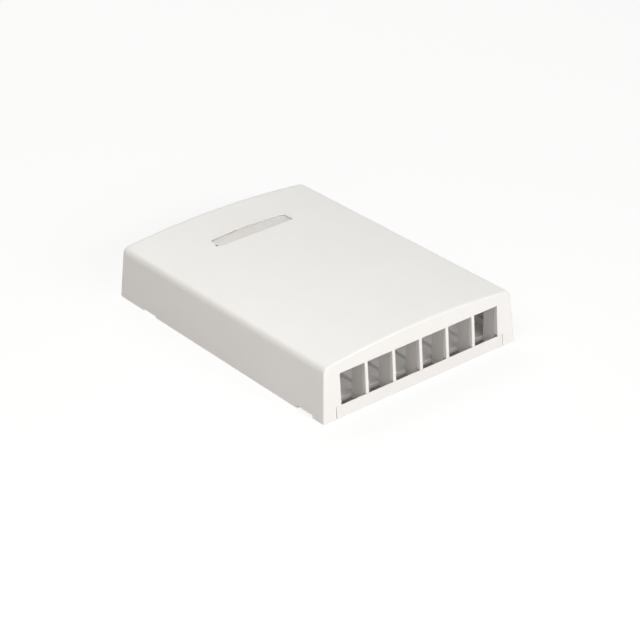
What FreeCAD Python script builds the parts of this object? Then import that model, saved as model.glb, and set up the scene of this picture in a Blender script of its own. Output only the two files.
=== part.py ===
import FreeCAD, Part
import os
import re

import Sketcher

# A six-port surface mount jack box: a moulded base that holds the jacks, a crowned cover that
# drops over it, a label under a clear window, and one screw under the label.
# Millimetres. +X runs across the box, the ports face -Y, +Z is up, and the origin is the
# middle of the footprint on the mounting surface.

SIZES = {
    # cover shell
    "cover_width": 119.0,
    "cover_length": 160.0,
    "cover_height": 30.75,
    "wall": 2.4,
    "front_lean": 4.9,
    "side_draft": 4.2,
    "crown_radius": 480.0,
    "rear_draft": 3.2,
    "roof_fall": 0.4,
    "rear_corner_radius": 4.2,
    "top_edge_radius": 3.6,
    "least_radius": 0.4,
    "front_edge_radius": 0.9,
    "cover_gap": 0.4,
    # row of ports
    "port_count": 6,
    "port_pitch": 16.5,
    "port_width": 14.75,
    "port_height": 16.0,
    "sill_height": 6.2,
    "sill_width": 103.2,
    "sill_thickness": 3.2,
    "sill_land": 0.3,
    "sill_end_gap": 0.3,
    "sill_top_gap": 0.1,
    # jack cells behind the ports
    "cell_depth": 10.8,
    "cell_step": 0.1,
    "cell_height": 24.4,
    "latch_rail_depth": 4.6,
    "latch_chamfer": 1.1,
    "rest_width": 6.2,
    "rest_height": 3.9,
    "rest_length": 15.0,
    "rest_setback": 4.0,
    # base tray
    "floor_thickness": 2.2,
    "rim_height": 6.0,
    "rim_thickness": 1.4,
    "rim_inset": 0.5,
    # cable openings
    "entry_width": 26.0,
    "entry_height": 11.0,
    "entry_radius": 3.0,
    "cutout_width": 40.0,
    "cutout_length": 34.0,
    "cutout_radius": 4.0,
    "gang_pitch": 83.3,
    "gang_centre": -5.0,
    "gang_hole_radius": 2.25,
    # wall screws
    "slot_pitch_across": 84.0,
    "slot_pitch_along": 100.0,
    "slot_centre": 12.0,
    "slot_length": 9.0,
    "slot_radius": 2.1,
    # cable guides on the floor
    "spool_radius": 31.0,
    "spool_thickness": 1.6,
    "spool_height": 14.0,
    "spool_half_length": 22.0,
    "tie_pitch": 26.0,
    "tie_place": -36.0,
    "tie_width": 8.0,
    "tie_length": 3.0,
    "tie_height": 4.4,
    "tie_wall": 1.6,
    # locating ribs inside the cover
    "locator_width": 1.6,
    "locator_top": 18.0,
    "locator_reach": 2.2,
    "locator_front": -30.0,
    "locator_rear": 40.0,
    "locator_gap": 0.35,
    # notches along the cover's foot
    "front_notch_place": -66.5,
    "front_notch_length": 11.0,
    "front_notch_height": 1.5,
    "rear_notch_place": 53.0,
    "rear_notch_length": 10.0,
    "rear_notch_height": 0.8,
    # label and its window
    "label_place": 47.0,
    "label_length": 46.5,
    "label_width": 7.5,
    "label_bow": 1.1,
    "label_corner_radius": 0.7,
    "label_depth": 3.45,
    "label_well_wall": 1.6,
    "card_thickness": 0.25,
    "card_gap": 0.4,
    "window_thickness": 1.2,
    "window_gap": 0.15,
    "window_edge_chamfer": 0.25,
    "pry_width": 2.2,
    "pry_depth": 1.0,
    "pry_inset": 0.75,
    # cover screw and its boss
    "screw_radius": 1.75,
    "screw_length": 12.0,
    "screw_head_radius": 3.1,
    "screw_head_height": 2.0,
    "screw_head_bevel": 0.9,
    "cross_reach": 1.7,
    "cross_width": 0.9,
    "cross_depth": 1.2,
    "screw_hole_gap": 0.35,
    "screw_cup_radius": 5.2,
    "screw_cup_wall": 2.0,
    "screw_cup_depth": 2.4,
    "boss_radius": 4.2,
    "boss_gap": 0.3,
    "bore_gap": 0.05,
    "bore_spare": 2.0,
    "fin_span": 17.0,
    "fin_thickness": 1.4,
    "fin_height": 14.0,
    # adhesive pads in the underside
    "adhesive_width": 14.0,
    "adhesive_length": 74.0,
    "adhesive_thickness": 0.9,
    "adhesive_inset": 14.5,
    "adhesive_along": 12.0,
    "adhesive_gap": 0.3,
}

# Places that several pieces share, worked out from the sizes above.
CROWN_AT_MIDDLE = "(cover_height - cover_length / 2 * tan(roof_fall))"
FRONT_INSIDE = "(-cover_length / 2 + wall + cover_gap)"
CELL_REAR = "(-cover_length / 2 + cell_depth)"
PORT_TOP = "(sill_height + port_height)"
ROW_SPAN = "(port_pitch * port_count)"
DIVIDER = "(port_pitch - port_width)"
ADHESIVE_PLACE = "(cover_width / 2 - adhesive_inset)"
PORT_SIDES = (f"(-{ROW_SPAN} / 2 + {DIVIDER} / 2)", f"(-{ROW_SPAN} / 2 + {DIVIDER} / 2 + port_width)")
TRAY_SIDE = "(cover_width / 2 - wall - cover_gap)"
TRAY_REAR = "(cover_length / 2 - wall - cover_gap)"
TRAY_CORNER = "(rear_corner_radius - wall - cover_gap)"
LABEL_SEAT = "(cover_height - label_depth)"
WELL_UNDERSIDE = f"({LABEL_SEAT} - label_well_wall)"
HEAD_SEAT = f"({LABEL_SEAT} - screw_cup_depth)"
CUP_UNDERSIDE = f"({LABEL_SEAT} - screw_cup_depth - screw_cup_wall)"
BOSS_TOP = f"({LABEL_SEAT} - screw_cup_depth - screw_cup_wall - boss_gap)"

doc = FreeCAD.newDocument("jack_box")
sheet = doc.addObject("Spreadsheet::Sheet", "sizes")


# ---------------------------------------------------------------- sizes


def fill_sheet():
    """Writes each driving size to the sheet, with its name as the alias."""
    for row, (name, size) in enumerate(SIZES.items(), start=1):
        sheet.set(f"A{row}", name)
        sheet.set(f"B{row}", str(size))
        sheet.setAlias(f"B{row}", name)
    doc.recompute()


def linked(expression):
    """The expression with each size's name tied to its cell."""
    return re.sub(r"[a-z_]+", lambda m: f"sizes.{m[0]}" if m[0] in SIZES else m[0], expression)


def number(expression):
    """The present value of an expression, used to place a sketch's first guess."""
    return float(sheet.evalExpression(linked(expression)))


def bind(item, setting, expression):
    """Drives one setting of an object from the sheet."""
    item.setExpression(setting, linked(expression))


# ---------------------------------------------------------------- sketches


def new_body(label):
    body = doc.addObject("PartDesign::Body", label)
    body.Label = label
    return body


def origin_item(body, role):
    return next(item for item in body.Origin.OriginFeatures if item.Role == role)


def new_sketch(body, label, role, offset="0"):
    """A sketch on one of the body's own planes, moved along the plane's normal."""
    sketch = body.newObject("Sketcher::SketchObject", label)
    sketch.AttachmentSupport = [(origin_item(body, role), "")]
    sketch.MapMode = "FlatFace"
    bind(sketch, "AttachmentOffset.Base.z", offset)
    return sketch


def hold(sketch, kind, target, expression):
    """Adds a constraint whose value comes from the sheet."""
    index = sketch.addConstraint(Sketcher.Constraint(kind, *target, number(expression)))
    bind(sketch, f"Constraints[{index}]", expression)


def hold_point(sketch, element, end, place):
    """Holds one end of an element at a place measured from the sketch's origin."""
    hold(sketch, "DistanceX", (-1, 1, element, end), place[0])
    hold(sketch, "DistanceY", (-1, 1, element, end), place[1])


def vector(place):
    return FreeCAD.Vector(number(place[0]), number(place[1]), 0)


def outline(sketch, corners):
    """A closed run of straight lines through the corners."""
    sides = [
        sketch.addGeometry(Part.LineSegment(vector(start), vector(end)))
        for start, end in zip(corners, corners[1:] + corners[:1])
    ]
    join_ends(sketch, sides)
    for side, corner in zip(sides, corners):
        hold_point(sketch, side, 1, corner)


def rectangle(left, right, low, high):
    return [(left, low), (right, low), (right, high), (left, high)]


def centred(across, along, width, length):
    """A rectangle about its own centre."""
    return rectangle(
        f"({across} - {width} / 2)",
        f"({across} + {width} / 2)",
        f"({along} - {length} / 2)",
        f"({along} + {length} / 2)",
    )


def circle(sketch, across, along, radius):
    centre = vector((across, along))
    index = sketch.addGeometry(Part.Circle(centre, FreeCAD.Vector(0, 0, 1), number(radius)))
    hold_point(sketch, index, 3, (across, along))
    hold(sketch, "Radius", (index,), radius)


def join_ends(sketch, pieces):
    """Joins the end of each piece of a closed loop to the start of the next."""
    for piece, after in zip(pieces, pieces[1:] + pieces[:1]):
        sketch.addConstraint(Sketcher.Constraint("Coincident", piece, 2, after, 1))


def plus_shape(arm, half, near, far, low_side, high_side):
    """Corners of a plus sign, anticlockwise from the left of its nearest arm."""
    return [
        (f"-{half}", near),
        (half, near),
        (half, low_side),
        (arm, low_side),
        (arm, high_side),
        (half, high_side),
        (half, far),
        (f"-{half}", far),
        (f"-{half}", high_side),
        (f"-{arm}", high_side),
        (f"-{arm}", low_side),
        (f"-{half}", low_side),
    ]


def arc(sketch, centre, radius, start, end):
    """An arc from start to end, anticlockwise about its centre. Its ends stay free."""
    middle = vector(centre)
    ring = Part.Circle(middle, FreeCAD.Vector(0, 0, 1), number(radius))
    angles = [ring.parameter(vector(place)) for place in (start, end)]
    return sketch.addGeometry(Part.ArcOfCircle(ring, *angles))


def slot(sketch, across, along, length, radius):
    """A slot along the sketch's X direction, with round ends."""
    half = f"({length} / 2 - {radius})"
    left, right = f"({across} - {half})", f"({across} + {half})"
    low, high = f"({along} - {radius})", f"({along} + {radius})"
    right_end = arc(sketch, (right, along), radius, (right, low), (right, high))
    left_end = arc(sketch, (left, along), radius, (left, high), (left, low))
    top = sketch.addGeometry(Part.LineSegment(vector((right, high)), vector((left, high))))
    foot = sketch.addGeometry(Part.LineSegment(vector((left, low)), vector((right, low))))
    for one, one_end, other, other_end in (
        (right_end, 2, top, 1),
        (top, 2, left_end, 1),
        (left_end, 2, foot, 1),
        (foot, 2, right_end, 1),
    ):
        sketch.addConstraint(Sketcher.Constraint("Tangent", one, one_end, other, other_end))
    hold_point(sketch, right_end, 3, (right, along))
    hold_point(sketch, left_end, 3, (left, along))
    hold(sketch, "Radius", (right_end,), radius)


def bowed_outline(sketch, inset):
    """The label's outline: straight ends, and long edges that bow outward."""
    half = f"(label_length / 2 - {inset})"
    near = f"(label_place - label_width / 2 + {inset})"
    far = f"(label_place + label_width / 2 - {inset})"
    bow_radius = f"(({half} * {half} + label_bow * label_bow) / (2 * label_bow))"
    corners = [(f"-{half}", near), (half, near), (half, far), (f"-{half}", far)]
    front = arc(sketch, ("0", f"({near} - label_bow + {bow_radius})"), bow_radius, *corners[0:2])
    right = sketch.addGeometry(Part.LineSegment(vector(corners[1]), vector(corners[2])))
    rear = arc(sketch, ("0", f"({far} + label_bow - {bow_radius})"), bow_radius, *corners[2:4])
    left = sketch.addGeometry(Part.LineSegment(vector(corners[3]), vector(corners[0])))
    join_ends(sketch, [front, right, rear, left])
    for line, first, second in ((right, corners[1], corners[2]), (left, corners[3], corners[0])):
        hold_point(sketch, line, 1, first)
        hold_point(sketch, line, 2, second)
    hold(sketch, "Radius", (front,), bow_radius)
    hold(sketch, "Radius", (rear,), bow_radius)


# ---------------------------------------------------------------- features


def extrude(body, kind, sketch, label, length, backwards=False, both_ways=False):
    """A pad or a pocket of a sketch, its length driven by the sheet."""
    feature = body.newObject(kind, label)
    feature.Profile = sketch
    feature.Reversed = backwards
    feature.Midplane = both_ways
    bind(feature, "Length", length)
    sketch.Visibility = False
    doc.recompute()
    return feature


def pad(body, sketch, label, length, **ways):
    return extrude(body, "PartDesign::Pad", sketch, label, length, **ways)


def pocket(body, sketch, label, length, **ways):
    """A pocket, with a check that it takes material away."""
    before = body.Shape.Volume
    feature = extrude(body, "PartDesign::Pocket", sketch, label, length, **ways)
    if feature.Shape.Volume > before - 0.001:
        raise RuntimeError(f"{label} cuts nothing")
    return feature


def row_of(body, feature, label, count, pitch):
    """Repeats a feature along X."""
    pattern = body.newObject("PartDesign::LinearPattern", label)
    pattern.Originals = [feature]
    pattern.Direction = (origin_item(body, "X_Axis"), [""])
    bind(pattern, "Length", f"{pitch} * ({count} - 1)")
    bind(pattern, "Occurrences", count)
    body.Tip = pattern
    doc.recompute()
    return pattern


def mirrored(body, feature, label):
    """Repeats a feature on the other side of the YZ plane."""
    mirror = body.newObject("PartDesign::Mirrored", label)
    mirror.Originals = [feature]
    mirror.MirrorPlane = (origin_item(body, "YZ_Plane"), [""])
    body.Tip = mirror
    doc.recompute()
    return mirror


def middle_of(edge):
    return edge.valueAt((edge.FirstParameter + edge.LastParameter) / 2)


def rise_of(edge):
    return edge.BoundBox.ZLength


def round_edges(body, label, radius, wanted):
    """Rounds the edges of the body's last feature that pass a test."""
    base = body.Tip
    names = [f"Edge{n}" for n, edge in enumerate(base.Shape.Edges, start=1) if wanted(edge)]
    fillet = body.newObject("PartDesign::Fillet", label)
    fillet.Base = (base, names)
    bind(fillet, "Radius", radius)
    doc.recompute()
    return fillet


def bevel_edges(body, label, size, wanted):
    """Bevels the edges of the body's last feature that pass a test."""
    base = body.Tip
    names = [f"Edge{n}" for n, edge in enumerate(base.Shape.Edges, start=1) if wanted(edge)]
    bevel = body.newObject("PartDesign::Chamfer", label)
    bevel.Base = (base, names)
    bind(bevel, "Size", size)
    doc.recompute()
    return bevel


def faces_towards(shape, wanted):
    """Names of the flat faces whose normal passes a test."""
    return [
        f"Face{n}"
        for n, face in enumerate(shape.Faces, start=1)
        if face.Surface.TypeId == "Part::GeomPlane" and wanted(face.normalAt(0, 0))
    ]


def draft(body, label, angle, wanted):
    """Leans faces inward from the foot of the body."""
    base = body.Tip
    leaned = body.newObject("PartDesign::Draft", label)
    leaned.Base = (base, faces_towards(base.Shape, wanted))
    leaned.NeutralPlane = (origin_item(body, "XY_Plane"), [""])
    bind(leaned, "Angle", angle)
    doc.recompute()
    return leaned


# ---------------------------------------------------------------- cover


def crowned_block(body, name, inset):
    """A block with leaning walls, a crowned roof and round rear corners, drawn in by an inset."""
    foot = new_sketch(body, f"{name}_foot", "XY_Plane", "(-wall)")
    side = f"(cover_width / 2 - {inset} / cos(side_draft))"
    front = f"(-cover_length / 2 + {inset} / cos(front_lean))"
    rear = f"(cover_length / 2 - {inset} / cos(rear_draft))"
    outline(foot, rectangle(f"-{side}", side, front, rear))
    pad(body, foot, f"{name}_blank", "cover_height + 2 * wall")
    draft(body, f"{name}_front_lean", "front_lean", lambda normal: normal.y < -0.5)
    draft(body, f"{name}_side_draft", "side_draft", lambda normal: abs(normal.x) > 0.5)
    draft(body, f"{name}_rear_draft", "rear_draft", lambda normal: normal.y > 0.5)
    crown = new_sketch(body, f"{name}_crown", "XZ_Plane")
    crown_outline(crown, inset)
    pocket(body, crown, f"{name}_crown_cut", "2 * cover_length", both_ways=True)

    behind = number("cover_length / 4")
    high = number("cover_height / 2")
    round_edges(
        body,
        f"{name}_rear_corners",
        f"max(rear_corner_radius - {inset}; least_radius)",
        lambda edge: middle_of(edge).y > behind and rise_of(edge) > high,
    )


def round_roof(cover):
    """Rounds the roof into the side and rear walls."""
    high = number("cover_height / 2")
    front = number("-cover_length / 4")
    round_edges(
        cover,
        "roof_edges",
        "top_edge_radius",
        lambda edge: edge.BoundBox.ZMin > high and middle_of(edge).y > front,
    )


def crown_outline(crown, inset):
    """The region above the roof: a shallow arc below, falling gently towards the rear."""
    crown.AttachmentOffset = FreeCAD.Placement(
        FreeCAD.Vector(0, 0, 0),
        FreeCAD.Rotation(FreeCAD.Vector(-1, 0, 0), number("roof_fall")),
    )
    bind(crown, "AttachmentOffset.Rotation.Angle", "roof_fall")
    half = "(cover_width / 2 + wall)"
    radius = f"(crown_radius - {inset})"
    centre = ("0", f"({CROWN_AT_MIDDLE} - crown_radius)")
    shoulder = f"({centre[1]} + sqrt({radius} * {radius} - {half} * {half}))"
    above = "(2 * cover_height)"
    curve = arc(crown, centre, radius, (half, shoulder), (f"-{half}", shoulder))
    corners = [(f"-{half}", shoulder), (f"-{half}", above), (half, above), (half, shoulder)]
    lines = [
        crown.addGeometry(Part.LineSegment(vector(start), vector(end)))
        for start, end in zip(corners, corners[1:])
    ]
    join_ends(crown, [curve, *lines])
    for line, corner in zip(lines, corners):
        hold_point(crown, line, 1, corner)
    hold_point(crown, lines[-1], 2, corners[-1])
    hold(crown, "Radius", (curve,), radius)


def trim_foot(cover):
    """Cuts the block off square at the mounting surface."""
    foot = new_sketch(cover, "foot_trim_outline", "XY_Plane")
    outline(foot, centred("0", "0", "2 * cover_width", "2 * cover_length"))
    pocket(cover, foot, "foot_trim", "cover_height")


def hollow_cover(cover):
    """Takes a core one wall smaller out of the block, and eases the front's rim."""
    core = new_body("cover_core")
    crowned_block(core, "core", "wall")
    hollow = cover.newObject("PartDesign::Boolean", "hollow")
    hollow.Type = "Cut"
    hollow.setObjects([core])
    doc.recompute()
    trim_foot(cover)
    front = min(cover.Tip.Shape.Faces, key=lambda face: face.CenterOfMass.y)
    rim = [edge for edge in front.Edges if middle_of(edge).z > number("wall")]
    round_edges(
        cover,
        "front_edges",
        "front_edge_radius",
        lambda edge: any(edge.isSame(one) for one in rim),
    )


def cover_ports(cover):
    """The gap for the base's sill, and a row of openings that leaves bars between them."""
    notch = new_sketch(cover, "sill_notch_outline", "XZ_Plane")
    half = "(sill_width / 2 + sill_end_gap)"
    outline(notch, rectangle(f"-{half}", half, "-wall", "(sill_height + sill_top_gap)"))
    pocket(cover, notch, "sill_notch", "cover_length", backwards=True)
    port = new_sketch(cover, "port_outline", "XZ_Plane")
    outline(port, rectangle(*PORT_SIDES, "sill_height", PORT_TOP))
    opening = pocket(cover, port, "port", "cover_length", backwards=True)
    row_of(cover, opening, "ports", "port_count", "port_pitch")


def cover_foot_openings(cover):
    """The cable entry in the rear wall, and the small notches along the side walls' feet."""
    entry = new_sketch(cover, "cable_entry_outline", "XZ_Plane")
    half = "(entry_width / 2)"
    outline(entry, rectangle(f"-{half}", half, "-wall", "entry_height"))
    pocket(cover, entry, "cable_entry", "cover_length")
    high = number("entry_height")
    round_edges(
        cover,
        "cable_entry_corners",
        "entry_radius",
        lambda edge: abs(edge.BoundBox.ZMax - high) < 0.01 and rise_of(edge) < 0.01
        and edge.BoundBox.YLength > edge.BoundBox.XLength and middle_of(edge).y > 0,
    )
    for name in ("front_notch", "rear_notch"):
        notch = new_sketch(cover, f"{name}_outline", "YZ_Plane")
        low = f"({name}_place - {name}_length / 2)"
        high_end = f"({name}_place + {name}_length / 2)"
        outline(notch, rectangle(low, high_end, "-wall", f"{name}_height"))
        pocket(cover, notch, name, "2 * cover_width", both_ways=True)


def label_well(cover):
    """A dish in the roof for the label and its window, with a cup below it for the screw."""
    well = new_sketch(cover, "label_well_outline", "XY_Plane", WELL_UNDERSIDE)
    bowed_outline(well, "(-label_well_wall)")
    pad(cover, well, "label_well", "label_well_wall + wall / 4")
    cup = new_sketch(cover, "screw_cup_outline", "XY_Plane", CUP_UNDERSIDE)
    circle(cup, "0", "label_place", "screw_cup_radius")
    pad(cover, cup, "screw_cup", "screw_cup_wall + screw_cup_depth - label_well_wall / 2")

    dish = new_sketch(cover, "label_dish_outline", "XY_Plane", LABEL_SEAT)
    bowed_outline(dish, "0")
    pocket(cover, dish, "label_dish", "cover_height", backwards=True)
    seat = number(LABEL_SEAT)
    end = number("label_length / 2")
    round_edges(
        cover,
        "label_dish_corners",
        "label_corner_radius",
        lambda edge: abs(abs(middle_of(edge).x) - end) < 0.01
        and abs(edge.BoundBox.ZMin - seat) < 0.01 and rise_of(edge) > 0.5,
    )
    pry = new_sketch(cover, "pry_notch_outline", "XY_Plane", LABEL_SEAT)
    left = "(-label_length / 2)"
    near = "(label_place - label_width / 2 + pry_inset)"
    outline(pry, rectangle(f"({left} - pry_depth)", f"({left} + wall)", near, f"({near} + pry_width)"))
    pocket(cover, pry, "pry_notch", "cover_height", backwards=True)

    bore = new_sketch(cover, "screw_head_outline", "XY_Plane", HEAD_SEAT)
    circle(bore, "0", "label_place", "(screw_head_radius + screw_hole_gap)")
    pocket(cover, bore, "screw_head_bore", "cover_height", backwards=True)
    hole = new_sketch(cover, "screw_hole_outline", "XY_Plane", CUP_UNDERSIDE)
    circle(hole, "0", "label_place", "(screw_radius + screw_hole_gap)")
    pocket(cover, hole, "screw_hole", "cover_height", backwards=True)


def locating_ribs(cover):
    """Four upright ribs on the side walls, which drop into notches in the tray's rim."""
    ribs = new_sketch(cover, "locator_outline", "XY_Plane", "(floor_thickness + locator_gap)")
    inner = f"({TRAY_SIDE} - locator_reach)"
    outer = "(cover_width / 2 - wall)"
    for place in ("locator_front", "locator_rear"):
        low, high = f"({place} - locator_width / 2)", f"({place} + locator_width / 2)"
        outline(ribs, rectangle(inner, outer, low, high))
        outline(ribs, rectangle(f"-{outer}", f"-{inner}", low, high))
    pad(cover, ribs, "locators", "locator_top - floor_thickness")


def build_cover():
    cover = new_body("cover")
    crowned_block(cover, "cover", "0")
    round_roof(cover)
    hollow_cover(cover)
    label_well(cover)
    cover_ports(cover)
    cover_foot_openings(cover)
    locating_ribs(cover)
    return cover


# ---------------------------------------------------------------- base


def tray(base):
    """The floor plate, with a low rim just inside the cover's walls."""
    plate = new_sketch(base, "floor_outline", "XY_Plane")
    tray_outline(plate, "0", FRONT_INSIDE)
    pad(base, plate, "floor", "floor_thickness")
    rim = new_sketch(base, "rim_outline", "XY_Plane", "floor_thickness / 2")
    tray_outline(rim, "rim_inset", f"({FRONT_INSIDE} + rim_inset)")
    pad(base, rim, "rim", "rim_height - floor_thickness / 2")
    inside = new_sketch(base, "rim_inside_outline", "XY_Plane", "floor_thickness")
    side = f"({TRAY_SIDE} - rim_inset - rim_thickness)"
    rear = f"({TRAY_REAR} - rim_inset - rim_thickness)"
    outline(inside, rectangle(f"-{side}", side, "(-cover_length / 2)", rear))
    pocket(base, inside, "rim_inside", "rim_height", backwards=True)


def tray_outline(sketch, inset, front):
    """The tray's plan, drawn in by an inset, with round corners at the rear."""
    side = f"({TRAY_SIDE} - {inset})"
    rear = f"({TRAY_REAR} - {inset})"
    radius = f"({TRAY_CORNER} - {inset})"
    along, across = f"({rear} - {radius})", f"({side} - {radius})"
    lines = [
        ((f"-{side}", front), (side, front)),
        ((side, front), (side, along)),
        ((across, rear), (f"-{across}", rear)),
        ((f"-{side}", along), (f"-{side}", front)),
    ]
    low, right, back, left = [
        sketch.addGeometry(Part.LineSegment(vector(start), vector(end))) for start, end in lines
    ]
    right_turn = arc(sketch, (across, along), radius, (side, along), (across, rear))
    left_turn = arc(sketch, (f"-{across}", along), radius, (f"-{across}", rear), (f"-{side}", along))
    loop = [right, right_turn, back, left_turn, left]
    for piece, after in zip(loop, loop[1:]):
        sketch.addConstraint(Sketcher.Constraint("Tangent", piece, 2, after, 1))
    sketch.addConstraint(Sketcher.Constraint("Coincident", left, 2, low, 1))
    sketch.addConstraint(Sketcher.Constraint("Coincident", low, 2, right, 1))
    for line in (right, left):
        sketch.addConstraint(Sketcher.Constraint("Vertical", line))
    sketch.addConstraint(Sketcher.Constraint("Horizontal", back))
    hold_point(sketch, low, 1, (f"-{side}", front))
    hold_point(sketch, low, 2, (side, front))
    hold(sketch, "DistanceY", (-1, 1, back, 1), rear)
    for turn in (right_turn, left_turn):
        hold(sketch, "Radius", (turn,), radius)


def cells(base):
    """The sill, the cell walls behind the ports, their latch rail and the jack rests."""
    sill = new_sketch(base, "sill_profile", "YZ_Plane")
    face = "(-cover_length / 2)"
    back = "(-cover_length / 2 + sill_thickness)"
    lean = "tan(front_lean)"
    top = f"({face} + sill_height * {lean})"
    outline(
        sill,
        [
            (face, "0"),
            (back, "0"),
            (back, "floor_thickness"),
            (f"({top} + sill_land)", "sill_height"),
            (top, "sill_height"),
        ],
    )
    pad(base, sill, "sill", "sill_width", both_ways=True)

    well = new_sketch(base, "heel_well_outline", "XY_Plane", "floor_thickness")
    outline(well, rectangle(*PORT_SIDES, back, CELL_REAR))
    heel_well = pocket(base, well, "heel_well", "2 * floor_thickness")
    row_of(base, heel_well, "heel_wells", "port_count", "port_pitch")

    low = "(floor_thickness / 2)"
    thickness = f"({DIVIDER} - 2 * cell_step)"
    wall_line = new_sketch(base, "cell_wall_profile", "YZ_Plane", f"(-{ROW_SPAN} / 2)")
    outline(
        wall_line,
        [
            (f"({FRONT_INSIDE} + {low} * {lean})", low),
            (CELL_REAR, low),
            (CELL_REAR, "cell_height"),
            (f"({FRONT_INSIDE} + cell_height * {lean})", "cell_height"),
        ],
    )
    cell_wall = pad(base, wall_line, "cell_wall", thickness, both_ways=True)
    row_of(base, cell_wall, "cell_walls", "port_count + 1", "port_pitch")

    rail = new_sketch(base, "latch_rail_profile", "YZ_Plane")
    under = f"({PORT_TOP} + cell_step)"
    back = f"({FRONT_INSIDE} + {under} * {lean} + latch_rail_depth)"
    outline(
        rail,
        [
            (f"({FRONT_INSIDE} + {under} * {lean})", under),
            (f"({back} - latch_chamfer)", under),
            (back, f"({under} + latch_chamfer)"),
            (back, "cell_height"),
            (f"({FRONT_INSIDE} + cell_height * {lean})", "cell_height"),
        ],
    )
    pad(base, rail, "latch_rail", f"{ROW_SPAN} + {thickness}", both_ways=True)

    rest = new_sketch(base, "jack_rest_outline", "XY_Plane", low)
    first = f"((port_pitch - {ROW_SPAN}) / 2)"
    middle = f"({CELL_REAR} + rest_setback + rest_length / 2)"
    outline(rest, centred(first, middle, "rest_width", "rest_length"))
    jack_rest = pad(base, rest, "jack_rest", f"rest_height - {low}")
    row_of(base, jack_rest, "jack_rests", "port_count", "port_pitch")


def screw_boss(base):
    """A post with crossed fins, which the cover screw bites into."""
    low = "(floor_thickness / 2)"
    fins = new_sketch(base, "boss_fins_outline", "XY_Plane", low)
    span, half = "(fin_span / 2)", "(fin_thickness / 2)"
    near, far = f"(label_place - {span})", f"(label_place + {span})"
    low_side, high_side = f"(label_place - {half})", f"(label_place + {half})"
    outline(fins, plus_shape(span, half, near, far, low_side, high_side))
    pad(base, fins, "boss_fins", "fin_height - floor_thickness / 2")
    post = new_sketch(base, "boss_outline", "XY_Plane", low)
    circle(post, "0", "label_place", "boss_radius")
    pad(base, post, "boss", f"{BOSS_TOP} - {low}")
    bore = new_sketch(base, "boss_bore_outline", "XY_Plane", BOSS_TOP)
    circle(bore, "0", "label_place", "(screw_radius + bore_gap)")
    pocket(base, bore, "boss_bore", f"screw_length + bore_spare - ({HEAD_SEAT} - {BOSS_TOP})")


def floor_openings(base):
    """The cable cut-out and the holes for wall screws and for a wall box's screws."""
    cutout = new_sketch(base, "cable_cutout_outline", "XY_Plane", "floor_thickness")
    outline(cutout, centred("0", "gang_centre", "cutout_width", "cutout_length"))
    pocket(base, cutout, "cable_cutout", "2 * floor_thickness")
    wide, long = number("cutout_width / 2"), number("cutout_length / 2")
    centre, thick = number("gang_centre"), number("floor_thickness")
    round_edges(
        base,
        "cable_cutout_corners",
        "cutout_radius",
        lambda edge: abs(abs(middle_of(edge).x) - wide) < 0.01
        and abs(abs(middle_of(edge).y - centre) - long) < 0.01
        and abs(rise_of(edge) - thick) < 0.01,
    )
    holes = new_sketch(base, "fixing_outline", "XY_Plane", "floor_thickness")
    for side in ("-", ""):
        circle(holes, "0", f"(gang_centre + {side}gang_pitch / 2)", "gang_hole_radius")
        across = f"({side}slot_pitch_across / 2)"
        for end in ("-", ""):
            along = f"(slot_centre + {end}slot_pitch_along / 2)"
            slot(holes, across, along, "slot_length", "slot_radius")
    pocket(base, holes, "fixing_holes", "2 * floor_thickness")


def cable_guides(base):
    """Two curved fences that keep the bend of a coiled lead, and a row of tie-down loops."""
    low = "(floor_thickness / 2)"
    fence = new_sketch(base, "spool_outline", "XY_Plane", low)
    middle = ("0", "gang_centre")
    near = "(gang_centre - spool_half_length)"
    far = "(gang_centre + spool_half_length)"
    reach = "sqrt({0} * {0} - spool_half_length * spool_half_length)"
    outer = f"(-{reach.format('spool_radius')})"
    inner_radius = "(spool_radius - spool_thickness)"
    inner = f"(-{reach.format(inner_radius)})"
    outer_arc = arc(fence, middle, "spool_radius", (outer, far), (outer, near))
    inner_arc = arc(fence, middle, inner_radius, (inner, far), (inner, near))
    ends = [
        fence.addGeometry(Part.LineSegment(vector((outer, along)), vector((inner, along))))
        for along in (near, far)
    ]
    for piece, piece_end, line, line_end in (
        (outer_arc, 2, ends[0], 1),
        (inner_arc, 2, ends[0], 2),
        (outer_arc, 1, ends[1], 1),
        (inner_arc, 1, ends[1], 2),
    ):
        fence.addConstraint(Sketcher.Constraint("Coincident", piece, piece_end, line, line_end))
    for line, along in zip(ends, (near, far)):
        hold_point(fence, line, 1, (outer, along))
        hold_point(fence, line, 2, (inner, along))
    hold(fence, "Radius", (outer_arc,), "spool_radius")
    hold(fence, "Radius", (inner_arc,), inner_radius)
    one_side = pad(base, fence, "spool_fence", f"spool_height - {low}")
    mirrored(base, one_side, "spool_fences")

    loop = new_sketch(base, "tie_loop_profile", "XZ_Plane", "(-tie_place)")
    left, right = "(-tie_pitch - tie_width / 2)", "(-tie_pitch + tie_width / 2)"
    top = "(floor_thickness + tie_height)"
    outline(
        loop,
        [
            (left, low),
            (f"({left} + tie_wall)", low),
            (f"({left} + tie_wall)", f"({top} - tie_wall)"),
            (f"({right} - tie_wall)", f"({top} - tie_wall)"),
            (f"({right} - tie_wall)", low),
            (right, low),
            (right, top),
            (left, top),
        ],
    )
    tie_loop = pad(base, loop, "tie_loop", "tie_length", both_ways=True)
    row_of(base, tie_loop, "tie_loops", "3", "tie_pitch")


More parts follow.
